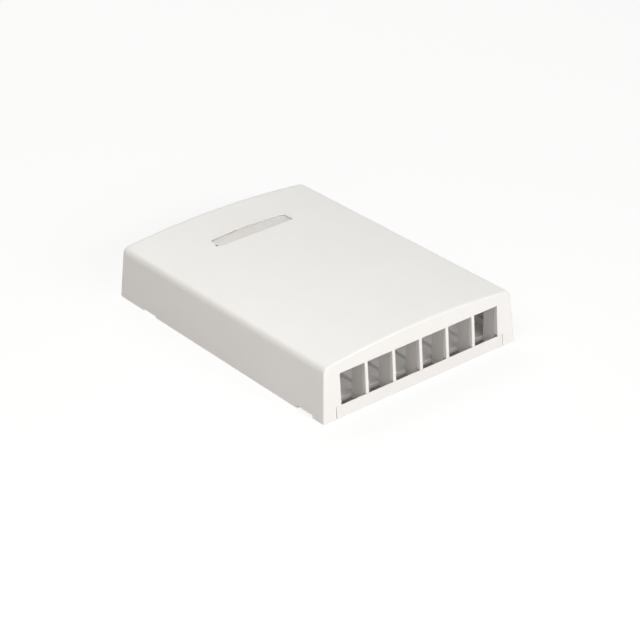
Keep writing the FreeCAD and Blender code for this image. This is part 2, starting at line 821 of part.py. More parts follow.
def rim_openings(base):
    """Gaps in the rim for the cables and for the cover's locating ribs."""
    gaps = new_sketch(base, "rim_gap_outline", "XY_Plane", "floor_thickness")
    half = "(entry_width / 2)"
    rear = f"({TRAY_REAR} - rim_inset - rim_thickness - cover_gap)"
    outline(gaps, rectangle(f"-{half}", half, rear, "(cover_length / 2)"))
    inner = f"({TRAY_SIDE} - rim_inset - rim_thickness - cover_gap)"
    outer = "(cover_width / 2)"
    for place in ("locator_front", "locator_rear"):
        low = f"({place} - locator_width / 2 - locator_gap)"
        high = f"({place} + locator_width / 2 + locator_gap)"
        outline(gaps, rectangle(inner, outer, low, high))
        outline(gaps, rectangle(f"-{outer}", f"-{inner}", low, high))
    pocket(base, gaps, "rim_gaps", "rim_height", backwards=True)


def adhesive_recesses(base):
    """Shallow recesses in the underside that the adhesive pads sit in."""
    recess = new_sketch(base, "adhesive_recess_outline", "XY_Plane")
    width = "(adhesive_width + 2 * adhesive_gap)"
    length = "(adhesive_length + 2 * adhesive_gap)"
    for side in ("-", ""):
        outline(recess, centred(f"({side}{ADHESIVE_PLACE})", "adhesive_along", width, length))
    pocket(base, recess, "adhesive_recesses", "adhesive_thickness", backwards=True)


def build_base():
    base = new_body("base")
    tray(base)
    cells(base)
    floor_openings(base)
    screw_boss(base)
    cable_guides(base)
    rim_openings(base)
    adhesive_recesses(base)
    return base


# ---------------------------------------------------------------- small pieces


def build_label_card():
    card = new_body("label_card")
    shape = new_sketch(card, "card_outline", "XY_Plane", LABEL_SEAT)
    bowed_outline(shape, "card_gap")
    pad(card, shape, "card", "card_thickness")
    return card


def build_label_window():
    """The clear strip over the label, bevelled round its top."""
    window = new_body("label_window")
    shape = new_sketch(window, "window_outline", "XY_Plane", f"({LABEL_SEAT} + card_thickness)")
    bowed_outline(shape, "window_gap")
    pad(window, shape, "window", "window_thickness")
    end = number("label_length / 2 - window_gap")
    top = number(f"{LABEL_SEAT} + card_thickness + window_thickness")
    round_edges(
        window,
        "window_corners",
        "(label_corner_radius - window_gap)",
        lambda edge: rise_of(edge) > 0.5 and abs(abs(middle_of(edge).x) - end) < 0.01,
    )
    bevel_edges(
        window,
        "window_top_edge",
        "window_edge_chamfer",
        lambda edge: edge.BoundBox.ZMin > top - 0.01,
    )
    return window


def build_cover_screw():
    """A pan-head screw with a cross recess."""
    screw = new_body("cover_screw")
    profile = new_sketch(screw, "screw_profile", "XZ_Plane", "(-label_place)")
    tip = f"({HEAD_SEAT} - screw_length)"
    crest = f"({HEAD_SEAT} + screw_head_height)"
    outline(
        profile,
        [
            ("0", tip),
            ("(screw_radius / 3)", tip),
            ("screw_radius", f"({tip} + screw_radius)"),
            ("screw_radius", HEAD_SEAT),
            ("screw_head_radius", HEAD_SEAT),
            ("screw_head_radius", f"({crest} - screw_head_bevel)"),
            ("(screw_head_radius - screw_head_bevel)", crest),
            ("0", crest),
        ],
    )
    turned = screw.newObject("PartDesign::Revolution", "turned")
    turned.Profile = profile
    turned.ReferenceAxis = (profile, ["V_Axis"])
    turned.Angle = 360
    doc.recompute()
    cross = new_sketch(screw, "cross_outline", "XY_Plane", crest)
    half = "(cross_width / 2)"
    near, far = "(label_place - cross_reach)", "(label_place + cross_reach)"
    low_side, high_side = f"(label_place - {half})", f"(label_place + {half})"
    outline(cross, plus_shape("cross_reach", half, near, far, low_side, high_side))
    pocket(screw, cross, "cross_recess", "cross_depth")
    return screw


def build_adhesive_pads():
    """Two foam strips that stick the base to the wall."""
    pads = []
    for name, side in (("adhesive_pad_left", "-"), ("adhesive_pad_right", "")):
        strip = doc.addObject("Part::Box", name)
        strip.Label = name
        bind(strip, "Length", "adhesive_width")
        bind(strip, "Width", "adhesive_length")
        bind(strip, "Height", "adhesive_thickness")
        bind(strip, "Placement.Base.x", f"({side}{ADHESIVE_PLACE}) - adhesive_width / 2")
        bind(strip, "Placement.Base.y", "adhesive_along - adhesive_length / 2")
        pads.append(strip)
    return pads


# ---------------------------------------------------------------- output


def check_document():
    """Stops if any object failed to rebuild."""
    for item in doc.Objects:
        if "Invalid" in item.State or "Error" in item.State:
            raise RuntimeError(f"{item.Label} did not rebuild: {item.State}")


def write_piece(piece):
    """Writes one piece to parts/, once its shape is sound."""
    shape = piece.Shape
    if shape.isNull() or not shape.isValid() or len(shape.Solids) != 1:
        raise RuntimeError(f"{piece.Label} is not one sound solid")
    shape.exportStep(os.path.join("parts", f"{piece.Label}.step"))
    print(f"{piece.Label}: {shape.Volume:.0f} cubic mm, {len(shape.Faces)} faces")


def main():
    fill_sheet()
    pieces = [
        build_base(),
        build_cover(),
        build_label_card(),
        build_label_window(),
        build_cover_screw(),
        *build_adhesive_pads(),
    ]
    doc.recompute()
    check_document()
    os.makedirs("parts", exist_ok=True)
    for piece in pieces:
        write_piece(piece)


main()
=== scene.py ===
"""A six-port surface mount jack box, dressed and lit for a plain studio picture."""

import logging
import math
from dataclasses import dataclass
from enum import Enum
from typing import Any, Iterable

import bmesh
import bpy
from mathutils import Matrix, Vector


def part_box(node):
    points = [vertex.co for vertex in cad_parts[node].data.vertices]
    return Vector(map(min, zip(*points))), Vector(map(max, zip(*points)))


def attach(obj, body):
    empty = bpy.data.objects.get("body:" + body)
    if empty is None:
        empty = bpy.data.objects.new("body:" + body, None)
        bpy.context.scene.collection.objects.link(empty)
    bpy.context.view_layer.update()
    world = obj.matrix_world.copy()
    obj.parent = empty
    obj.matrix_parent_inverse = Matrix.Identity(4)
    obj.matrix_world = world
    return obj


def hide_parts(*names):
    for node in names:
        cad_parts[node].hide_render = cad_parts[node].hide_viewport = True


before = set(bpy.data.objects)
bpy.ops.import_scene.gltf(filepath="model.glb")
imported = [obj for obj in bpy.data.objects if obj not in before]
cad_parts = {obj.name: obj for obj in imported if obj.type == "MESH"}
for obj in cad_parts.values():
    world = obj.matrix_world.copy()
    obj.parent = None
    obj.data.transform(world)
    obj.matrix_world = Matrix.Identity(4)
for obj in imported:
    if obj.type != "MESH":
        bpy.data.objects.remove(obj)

log = logging.getLogger("jack_box")

Colour = tuple[float, float, float]
Point = tuple[float, float, float]

MM = 0.001


# ------------------------------------------------------------------ node trees


class Wire:
    """An output socket that takes part in arithmetic by adding Math nodes."""

    def __init__(self, graph: "Graph", socket: bpy.types.NodeSocket) -> None:
        """Wraps a socket of a graph's tree."""
        self.graph = graph
        self.socket = socket

    def _math(self, operation: str, *values: "Wire | float") -> "Wire":
        """A Math node on the values, in their order."""
        return self.graph.add("ShaderNodeMath", {"operation": operation}, dict(enumerate(values)))

    def __add__(self, other: "Wire | float") -> "Wire":
        """self + other."""
        return self._math("ADD", self, other)

    def __radd__(self, other: float) -> "Wire":
        """other + self."""
        return self._math("ADD", other, self)

    def __sub__(self, other: "Wire | float") -> "Wire":
        """self - other."""
        return self._math("SUBTRACT", self, other)

    def __rsub__(self, other: float) -> "Wire":
        """other - self."""
        return self._math("SUBTRACT", other, self)

    def __mul__(self, other: "Wire | float") -> "Wire":
        """self * other."""
        return self._math("MULTIPLY", self, other)

    def __rmul__(self, other: float) -> "Wire":
        """other * self."""
        return self._math("MULTIPLY", other, self)

    def __pow__(self, other: "Wire | float") -> "Wire":
        """self raised to other."""
        return self._math("POWER", self, other)

    def __abs__(self) -> "Wire":
        """The size of self without its sign."""
        return self._math("ABSOLUTE", self)

    def most(self, other: "Wire | float") -> "Wire":
        """The larger of self and other."""
        return self._math("MAXIMUM", self, other)

    def wrapped(self, low: float, high: float) -> "Wire":
        """self folded into a repeating stretch from low to high."""
        return self._math("WRAP", self, high, low)

    def step(self, start: float, end: float) -> "Wire":
        """A smooth rise from 0 at start to 1 at end.

        Args:
            start: Value at which the result leaves 0.
            end: Value at which it reaches 1. It may lie below start.

        Returns:
            The eased value.
        """
        return self.graph.add(
            "ShaderNodeMapRange",
            {"interpolation_type": "SMOOTHSTEP"},
            {"Value": self, "From Min": start, "From Max": end},
        )


class Graph:
    """A node tree that is built one node at a time."""

    def __init__(self, tree: bpy.types.NodeTree) -> None:
        """Starts from an emptied tree."""
        self.tree = tree
        tree.nodes.clear()

    def add(
        self,
        kind: str,
        settings: dict[str, Any] | None = None,
        sockets: dict[str | int, Any] | None = None,
        out: str | int = 0,
    ) -> Wire:
        """Adds one node.

        Args:
            kind: Type of the node.
            settings: Properties, set before the sockets.
            sockets: Values or wires by the name or the number of the input.
            out: Name or number of the output to hand back.

        Returns:
            The output as a wire.
        """
        node = self.tree.nodes.new(kind)
        for key, value in (settings or {}).items():
            setattr(node, key, value)
        for key, value in (sockets or {}).items():
            target = self._input(node, key)
            if isinstance(value, Wire):
                self.tree.links.new(value.socket, target)
            else:
                target.default_value = value
        if not node.outputs:
            return Wire(self, None)
        live = [socket for socket in node.outputs if socket.enabled]
        socket = live[out] if isinstance(out, int) else next(s for s in live if s.name == out)
        return Wire(self, socket)

    @staticmethod
    def _input(node: bpy.types.Node, key: str | int) -> bpy.types.NodeSocket:
        """Finds an input.

        Args:
            node: Node that has it.
            key: Its name or number.

        Returns:
            The live input of that name or number.
        """
        if isinstance(key, int):
            return node.inputs[key]
        return next(s for s in node.inputs if s.enabled and key in (s.name, s.identifier))


class Shader(Graph):
    """A material's tree, with the few patterns that the finishes share."""

    def __init__(self, name: str) -> None:
        """Makes the material.

        Args:
            name: Name of the material.
        """
        self.material = bpy.data.materials.new(name)
        self.material.use_nodes = True
        super().__init__(self.material.node_tree)

    def place(self) -> Wire:
        """Where a point lies in the object's own metres."""
        return self.add("ShaderNodeTexCoord", out="Object")

    def facing(self, axis: int) -> Wire:
        """How far the surface faces along an axis of the object."""
        normal = self.add("ShaderNodeTexCoord", out="Normal")
        return self.add("ShaderNodeSeparateXYZ", sockets={0: normal}, out=axis)

    def axes(self) -> list[Wire]:
        """The three parts of a point's place."""
        place = self.place()
        return [self.add("ShaderNodeSeparateXYZ", sockets={0: place}, out=n) for n in range(3)]

    def noise(self, size: float, detail: float = 2.0, roughness: float = 0.5, seed: float = 0.0) -> Wire:
        """Soft noise about 0.5.

        Args:
            size: Width of one patch in metres.
            detail: Number of finer layers.
            roughness: How strongly the finer layers count.
            seed: Shift that tells one pattern from another.

        Returns:
            The noise.
        """
        shifted = self.add(
            "ShaderNodeMapping", sockets={"Vector": self.place(), "Location": (seed, seed * 0.7, -seed)}
        )
        return self.add(
            "ShaderNodeTexNoise",
            sockets={"Vector": shifted, "Scale": 1 / size, "Detail": detail, "Roughness": roughness},
        )

    def cells(self, size: float, seed: float = 0.0) -> Wire:
        """Scattered points, for pits and pores.

        Args:
            size: Usual distance between two points in metres.
            seed: Shift that tells one pattern from another.

        Returns:
            The distance to the nearest point.
        """
        shifted = self.add(
            "ShaderNodeMapping", sockets={"Vector": self.place(), "Location": (seed, -seed, seed * 0.4)}
        )
        return self.add("ShaderNodeTexVoronoi", sockets={"Vector": shifted, "Scale": 1 / size})

    def blend(self, amount: Wire | float, low: Any, high: Any) -> Wire:
        """A colour between two.

        Args:
            amount: Share of the second colour.
            low: First colour.
            high: Second colour.

        Returns:
            The blended colour.
        """
        return self.add(
            "ShaderNodeMix",
            {"data_type": "RGBA"},
            {"Factor": amount, 6: self._colour(low), 7: self._colour(high)},
        )

    @staticmethod
    def _colour(value: Any) -> Any:
        """A colour with its alpha, or the wire as it is."""
        return value if isinstance(value, Wire) else (*value, 1.0)

    def eased_normal(self, radius: float, samples: int = 6) -> Wire:
        """The normal as if each sharp edge had a small radius."""
        return self.add("ShaderNodeBevel", {"samples": samples}, {"Radius": radius})

    def edge(self, eased: Wire) -> Wire:
        """Finds sharp edges.

        Args:
            eased: The normal as if each sharp edge had a small radius.

        Returns:
            1 on a sharp edge and 0 on open surface.
        """
        normal = self.add("ShaderNodeNewGeometry", out="Normal")
        agreement = self.add(
            "ShaderNodeVectorMath", {"operation": "DOT_PRODUCT"}, {0: eased, 1: normal}, out="Value"
        )
        return (1 - agreement).step(0.01, 0.3)

    def bump(self, height: Wire, distance: float, strength: float, normal: Wire | None = None) -> Wire:
        """Relief from a height.

        Args:
            height: Height, where 1 stands for distance.
            distance: Depth of the relief in metres.
            strength: Share of the relief that shows.
            normal: Normal to build on.

        Returns:
            The new normal.
        """
        sockets = {"Height": height, "Distance": distance, "Strength": strength}
        if normal is not None:
            sockets["Normal"] = normal
        return self.add("ShaderNodeBump", sockets=sockets)

    def close(self, surface: Wire) -> bpy.types.Material:
        """Ends the material with a surface."""
        self.add("ShaderNodeOutputMaterial", sockets={"Surface": surface})
        return self.material


# ------------------------------------------------------------------ finishes


class Grain(Enum):
    """Textures that a mould leaves on plastic: size of the grain and depth."""

    FINE_SPARK = (0.42 * MM, 0.016 * MM)
    COARSE_SPARK = (0.7 * MM, 0.026 * MM)


@dataclass(frozen=True)
class Marks:
    """Shallow rings that ejector pins leave on flat floors."""

    pitch_across: float
    pitch_along: float
    radius: float
    width: float
    below: float
    relief: float = 0.08 * MM


@dataclass(frozen=True)
class MouldedPlastic:
    """Satin moulded plastic with a spark-eroded skin and edges rubbed smooth."""

    name: str
    colour: Colour
    warm: Colour
    roughness: float
    grain: Grain
    edge_radius: float
    marks: Marks | None = None
    cloud_size: float = 60.0 * MM
    flow_size: float = 11.0 * MM

    def material(self) -> bpy.types.Material:
        """Builds the plastic.

        Returns:
            The material.
        """
        shader = Shader(self.name)
        size, depth = self.grain.value
        eased = shader.eased_normal(self.edge_radius)
        edge = shader.edge(eased)
        cloud = shader.noise(self.cloud_size, detail=3.0, seed=1.3)
        flow = shader.noise(self.flow_size, detail=4.0, roughness=0.6, seed=4.1)
        tone = (cloud * 0.7 + flow * 0.3).step(0.32, 0.68)
        rubbed = edge * (0.5 + flow * 0.5)
        colour = shader.blend(tone, self.colour, self.warm)
        skin = shader.noise(size, detail=2.0, roughness=0.55, seed=2.2) * 0.6
        pits = shader.cells(size * 1.6, seed=0.6) * 0.4
        height = skin + pits
        normal = shader.bump(height, depth, 0.55, eased)
        if self.marks is not None:
            normal = shader.bump(self._rings(shader), self.marks.relief, 0.7, normal)
        roughness = self.roughness + (flow - 0.5) * 0.08 + (cloud - 0.5) * 0.05 - rubbed * 0.1
        surface = shader.add(
            "ShaderNodeBsdfPrincipled",
            sockets={
                "Base Color": colour,
                "Roughness": roughness,
                "IOR": 1.5,
                "Specular IOR Level": 0.42,
                "Normal": normal,
            },
        )
        return shader.close(surface)

    def _rings(self, shader: Shader) -> Wire:
        """The rings of the ejector pins.

        Args:
            shader: Shader that gets the nodes.

        Returns:
            1 on the rings, and 0 elsewhere and on walls.
        """
        marks = self.marks
        x, y, z = shader.axes()
        across = x.wrapped(-marks.pitch_across / 2, marks.pitch_across / 2)
        along = y.wrapped(-marks.pitch_along / 2, marks.pitch_along / 2)
        distance = (across * across + along * along) ** 0.5
        ring = abs(distance - marks.radius).step(marks.width, marks.width * 0.4)
        return ring * abs(shader.facing(2)).step(0.9, 0.98) * z.step(marks.below, marks.below - 0.2 * MM)


@dataclass(frozen=True)
class CardStock:
    """Uncoated card with a faint fibre."""

    name: str
    colour: Colour
    fleck: Colour
    fibre_size: float = MM / 3.6
    cloud_size: float = 6.0 * MM
    relief: float = 0.03 * MM

    def material(self) -> bpy.types.Material:
        """Builds the card.

        Returns:
            The material.
        """
        shader = Shader(self.name)
        place = shader.add("ShaderNodeMapping", sockets={"Vector": shader.place(), "Scale": (0.35, 1.0, 1.0)})
        fibre = shader.add(
            "ShaderNodeTexNoise",
            sockets={"Vector": place, "Scale": 1 / self.fibre_size, "Detail": 4.0, "Roughness": 0.65},
        )
        cloud = shader.noise(self.cloud_size, detail=3.0, seed=3.0)
        colour = shader.blend((fibre * 0.5 + cloud * 0.5).step(0.35, 0.7), self.colour, self.fleck)
        surface = shader.add(
            "ShaderNodeBsdfPrincipled",
            sockets={
                "Base Color": colour,
                "Roughness": 0.82 + (fibre - 0.5) * 0.15,
                "Specular IOR Level": 0.3,
                "Normal": shader.bump(fibre, self.relief, 0.5),
            },
        )
        return shader.close(surface)


@dataclass(frozen=True)
class ClearPlastic:
    """Clear moulded plastic, faintly hazed and scuffed."""

    name: str
    tint: Colour
    haze: float
    scuff_size: float = 3.5 * MM
    wave_size: float = 9.0 * MM
    relief: float = 0.02 * MM

    def material(self) -> bpy.types.Material:
        """Builds the clear plastic.

        Returns:
            The material.
        """
        shader = Shader(self.name)
        scuff = shader.noise(self.scuff_size, detail=5.0, roughness=0.7, seed=5.5)
        wave = shader.noise(self.wave_size, detail=1.0, seed=1.1)
        surface = shader.add(
            "ShaderNodeBsdfPrincipled",
            sockets={
                "Base Color": (*self.tint, 1.0),
                "Roughness": self.haze + scuff.step(0.45, 0.8) * 0.12,
                "IOR": 1.49,
                "Transmission Weight": 1.0,
                "Normal": shader.bump(wave, self.relief, 0.4),
            },
        )
        return shader.close(surface)


@dataclass(frozen=True)
class ZincPlate:
    """Bright zinc over steel, with fine specks and dull patches."""

    name: str
    colour: Colour
    dull: Colour
    patch_size: float = 1.6 * MM
    speck_size: float = 0.22 * MM
    relief: float = 0.01 * MM
    edge_radius: float = 0.08 * MM

    def material(self) -> bpy.types.Material:
        """Builds the plating.

        Returns:
            The material.
        """
        shader = Shader(self.name)
        patch = shader.noise(self.patch_size, detail=3.0, seed=2.7)
        speck = shader.noise(self.speck_size, detail=2.0, seed=0.9)
        surface = shader.add(
            "ShaderNodeBsdfPrincipled",
            sockets={
                "Base Color": shader.blend(patch.step(0.35, 0.7), self.colour, self.dull),
                "Metallic": 1.0,
                "Roughness": 0.26 + patch * 0.14,
                "Normal": shader.bump(speck, self.relief, 0.5, shader.eased_normal(self.edge_radius)),
            },
        )
        return shader.close(surface)


@dataclass(frozen=True)
class FoamTape:
    """Closed-cell foam, with its cells cut open where it shows, and painted shade, a darker colour, in the
    cells' pits.
    """

    name: str
    colour: Colour
    pit_shade: Colour
    cell_size: float = 0.34 * MM
    large_cell_size: float = 0.9 * MM
    relief: float = 0.12 * MM

    def material(self) -> bpy.types.Material:
        """Builds the foam.

        Returns:
            The material.
        """
        shader = Shader(self.name)
        cell = shader.cells(self.cell_size, seed=1.9)
        large = shader.cells(self.large_cell_size, seed=3.3)
        height = cell * 0.7 + large * 0.3
        surface = shader.add(
            "ShaderNodeBsdfPrincipled",
            sockets={
                # painted shade: the pits of the bump get the darker pit colour
                "Base Color": shader.blend(height.step(0.2, 0.6), self.pit_shade, self.colour),
                "Roughness": 0.88 - height * 0.1,
                "Specular IOR Level": 0.3,
                "Normal": shader.bump(height, self.relief, 0.8),
            },
        )
        return shader.close(surface)


@dataclass(frozen=True)
class ReleasePaper:
    """Waxed backing paper of a foam strip."""

    name: str
    colour: Colour
    crease: Colour
    ripple_size: float = 12.0 * MM
    fibre_size: float = 0.5 * MM
    relief: float = 0.06 * MM

    def material(self) -> bpy.types.Material:
        """Builds the paper.

        Returns:
            The material.
        """
        shader = Shader(self.name)
        ripple = shader.noise(self.ripple_size, detail=3.0, seed=7.0)
        fibre = shader.noise(self.fibre_size, detail=3.0, roughness=0.6, seed=2.0)
        surface = shader.add(
            "ShaderNodeBsdfPrincipled",
            sockets={
                "Base Color": shader.blend(ripple.step(0.3, 0.7), self.colour, self.crease),
                "Roughness": 0.3 + fibre * 0.18,
                "Normal": shader.bump(ripple * 0.8 + fibre * 0.2, self.relief, 0.6),
            },
        )
        return shader.close(surface)


COVER_WHITE = MouldedPlastic(
    name="cover_white",
    colour=(0.865, 0.860, 0.845),
    warm=(0.850, 0.842, 0.822),
    roughness=0.44,
    grain=Grain.FINE_SPARK,
    edge_radius=0.35 * MM,
)
BASE_WHITE = MouldedPlastic(
    name="base_white",
    colour=(0.840, 0.834, 0.818),
    warm=(0.820, 0.810, 0.790),
    roughness=0.5,
    grain=Grain.COARSE_SPARK,
    edge_radius=0.28 * MM,
    marks=Marks(
        pitch_across=23.5 * MM,
        pitch_along=20.5 * MM,
        radius=2.4 * MM,
        width=0.3 * MM,
        below=3.0 * MM,
    ),
)
LABEL_CARD = CardStock("label_card_stock", colour=(0.615, 0.585, 0.565), fleck=(0.572, 0.542, 0.522))
CLEAR_WINDOW = ClearPlastic("clear_window", tint=(0.97, 0.965, 0.96), haze=0.16)
SCREW_ZINC = ZincPlate("screw_zinc", colour=(0.72, 0.72, 0.73), dull=(0.52, 0.52, 0.55))
# the darker second colour of the foam is painted shade for its pits
PAD_FOAM = FoamTape("pad_foam", colour=(0.80, 0.79, 0.76), pit_shade=(0.55, 0.54, 0.51))
PAD_PAPER = ReleasePaper("pad_release_paper", colour=(0.78, 0.77, 0.72), crease=(0.72, 0.71, 0.66))


# ------------------------------------------------------------------ pieces


def dress(node: str, material: bpy.types.Material) -> None:
    """Gives a CAD node one material all over.

    Args:
        node: Name of the node.
        material: Its only material.
    """
    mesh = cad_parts[node].data
    for number in range(len(mesh.materials)):
        mesh.materials[number] = material
    log.info("%s dressed in %s", node, material.name)


def piece(name: str, shape: bmesh.types.BMesh, material: bpy.types.Material) -> bpy.types.Object:
    """Turns a bmesh into an object at the origin.

    Args:
        name: Name of the object.
        shape: Its geometry, freed here.
        material: Its only material.

    Returns:
        The object, linked to the scene.
    """
    bmesh.ops.recalc_face_normals(shape, faces=shape.faces)
    mesh = bpy.data.meshes.new(name)
    shape.to_mesh(mesh)
    shape.free()
    mesh.materials.append(material)
    item = bpy.data.objects.new(name, mesh)
    bpy.context.scene.collection.objects.link(item)
    return item


def soften(item: bpy.types.Object, width: float, segments: int, angle: float = 40.0) -> None:
    """Rounds an object's sharp edges for good and shades it smooth.

    Args:
        item: Object to round.
        width: Width of the rounding.
        segments: Number of strips across it.
        angle: Smallest turn in degrees that counts as a sharp edge.
    """
    bevel = item.modifiers.new("ease", "BEVEL")
    bevel.width, bevel.segments = width, segments
    bevel.limit_method, bevel.angle_limit = "ANGLE", math.radians(angle)
    bevel.harden_normals = True
    item.data.polygons.foreach_set("use_smooth", [True] * len(item.data.polygons))
    settle(item)


def settle(item: bpy.types.Object) -> None:
    """Replaces an object's mesh by the result of its modifiers, which are removed.

    Args:
        item: Object with modifiers.
    """
    graph = bpy.context.evaluated_depsgraph_get()
    made = bpy.data.meshes.new_from_object(item.evaluated_get(graph), depsgraph=graph)
    item.modifiers.clear()
    old, item.data = item.data, made
    made.name = item.name
    bpy.data.meshes.remove(old)


@dataclass
class Cover:
    """The crowned cover, moulded in one."""

    finish: MouldedPlastic = COVER_WHITE

    def build(self) -> None:
        """Dresses the cover."""
        dress("cover", self.finish.material())


@dataclass
class Base:
    """The base tray with its sill, cell walls, jack rests and post."""

    finish: MouldedPlastic = BASE_WHITE

    def build(self) -> None:
        """Dresses the base."""
        dress("base", self.finish.material())


@dataclass
class LabelPocket:
    """The bare label card and the clear window over it, crowned like the roof round it."""

    lift: float = 0.03 * MM
    spans: int = 28
    corner: float = 0.55 * MM
    corner_steps: int = 4
    bow: float = 1.1 * MM
    crest: float = 29.86 * MM
    crown_radius: float = 484.0 * MM
    fall: float = 0.007
    recess: float = 0.3 * MM
    top_ease: float = 0.2 * MM
    card: CardStock = LABEL_CARD
    window: ClearPlastic = CLEAR_WINDOW

    def build(self) -> None:
        """Dresses the card and makes the window."""
        dress("label_card", self.card.material())
        low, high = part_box("label_window")
        shape = bmesh.new()
        rings = [self._ring(shape, place, low, high) for place in self._places(high.x)]
        for one, two in zip(rings, rings[1:]):
            for side in range(4):
                shape.faces.new((one[side - 1], one[side], two[side], two[side - 1]))
        shape.faces.new(rings[0])
        shape.faces.new(rings[-1])
        window = piece("clear_label_window", shape, self.window.material())
        soften(window, self.top_ease, 3, angle=60.0)
        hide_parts("label_window")
        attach(window, "label_window")
        log.info("%s built over the card", window.name)

    def _places(self, half: float) -> list[tuple[float, float]]:
        """Where the window's outline is cut across, from the left end to the right end.

        Args:
            half: Half of the window's length.

        Returns:
            For each cut its x and how far the round corners pull the long sides in there.
        """
        straight = half - self.corner
        corner = []
        for step in range(self.corner_steps, -1, -1):
            turn = math.radians(90 * step / self.corner_steps)
            corner.append((straight + self.corner * math.cos(turn), self.corner * (1 - math.sin(turn))))
        inner = [(straight * (2 * step / self.spans - 1), 0.0) for step in range(1, self.spans)]
        return [(-x, pull) for x, pull in reversed(corner)] + inner + corner

    def _ring(
        self, shape: bmesh.types.BMesh, place: tuple[float, float], low: Vector, high: Vector
    ) -> list[bmesh.types.BMVert]:
        """Adds the four points of the window at one cut.

        Args:
            shape: Mesh that gets the points.
            place: The cut's x and the pull of the round corners there.
            low: Lowest corner of the window's box.
            high: Highest corner of the window's box.

        Returns:
            The near foot, far foot, far top and near top.
        """
        x, pull = place
        radius = (high.x**2 + self.bow**2) / (2 * self.bow)
        bow = math.sqrt(radius**2 - x**2) - (radius - self.bow)
        near, far = low.y + self.bow - bow + pull, high.y - self.bow + bow - pull
        foot = low.z + self.lift
        top = self.crest - self.recess - x**2 / (2 * self.crown_radius)
        slope = self.fall * (far - near) / 2
        corners = ((near, foot), (far, foot), (far, top - slope), (near, top + slope))
        return [shape.verts.new((x, y, z)) for y, z in corners]


